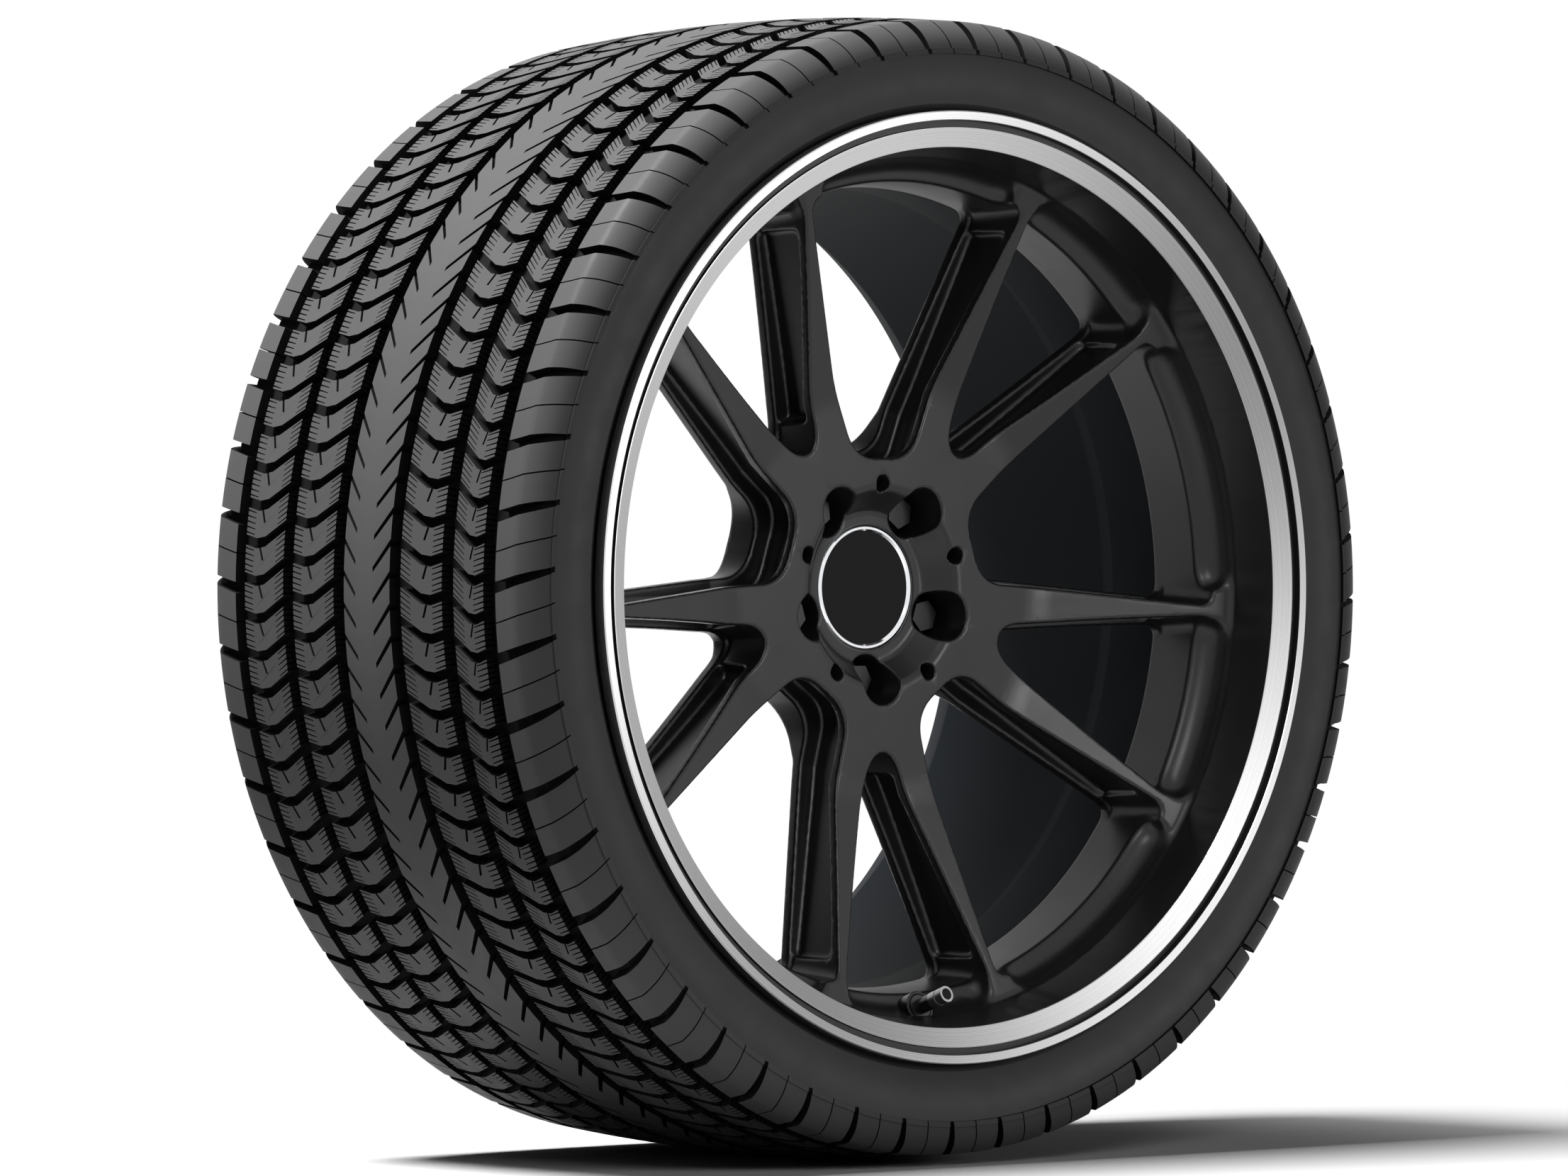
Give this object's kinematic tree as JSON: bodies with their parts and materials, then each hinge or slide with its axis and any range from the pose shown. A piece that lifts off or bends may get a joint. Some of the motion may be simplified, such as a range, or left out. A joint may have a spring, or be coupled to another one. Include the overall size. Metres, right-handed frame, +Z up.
{
  "type": "forged car wheel",
  "caption": "Deep-dish forged alloy car wheel with paired I-beam spokes and turned lip, fitted with a winter tyre, hub cap, wheel bolts and valve.",
  "frame": {"origin": "on the wheel's axis, halfway between the rim flanges", "axes": "+Y along the wheel's axis towards the car, -Y outboard, +Z up, +X to the right seen from outboard; the valve is at the bottom"},
  "size_m": [0.692, 0.3076, 0.6918],
  "materials": {
    "wheel": "satin black paint on forged aluminium, with a bare turned lip",
    "tyre": "charcoal rubber, matt",
    "bolts": "dark zinc coating",
    "cap_base": "moulded black plastic",
    "cap_ring": "bright plated ring",
    "cap_disc": "gloss black disc",
    "valve_rubber": "black rubber",
    "valve_brass": "machined brass",
    "valve_pin": "machined brass",
    "valve_cap": "bare turned aluminium"
  },
  "bodies": {
    "wheel": {"forged_wheel": "wheel", "tyre": "tyre", "wheel_bolts": "bolts", "hub_cap_base": "cap_base", "hub_cap_ring": "cap_ring", "hub_cap_disc": "cap_disc", "valve_rubber": "valve_rubber", "valve_tube": "valve_brass", "valve_core": "valve_brass"},
    "valve_cap": {"valve_cap": "valve_cap"},
    "valve_pin": {"valve_pin": "valve_pin"}
  },
  "joints": [
    {"name": "valve_cap_off", "type": "slide", "parent": "wheel", "child": "valve_cap", "axis": [0, -0.9397, 0.342], "range_m": [0, 0.012]},
    {"name": "valve_pin_press", "type": "slide", "parent": "wheel", "child": "valve_pin", "axis": [0, -0.9397, 0.342], "range_m": [-0.0015, 0], "stiffness_N_per_m": 2000}
  ]
}
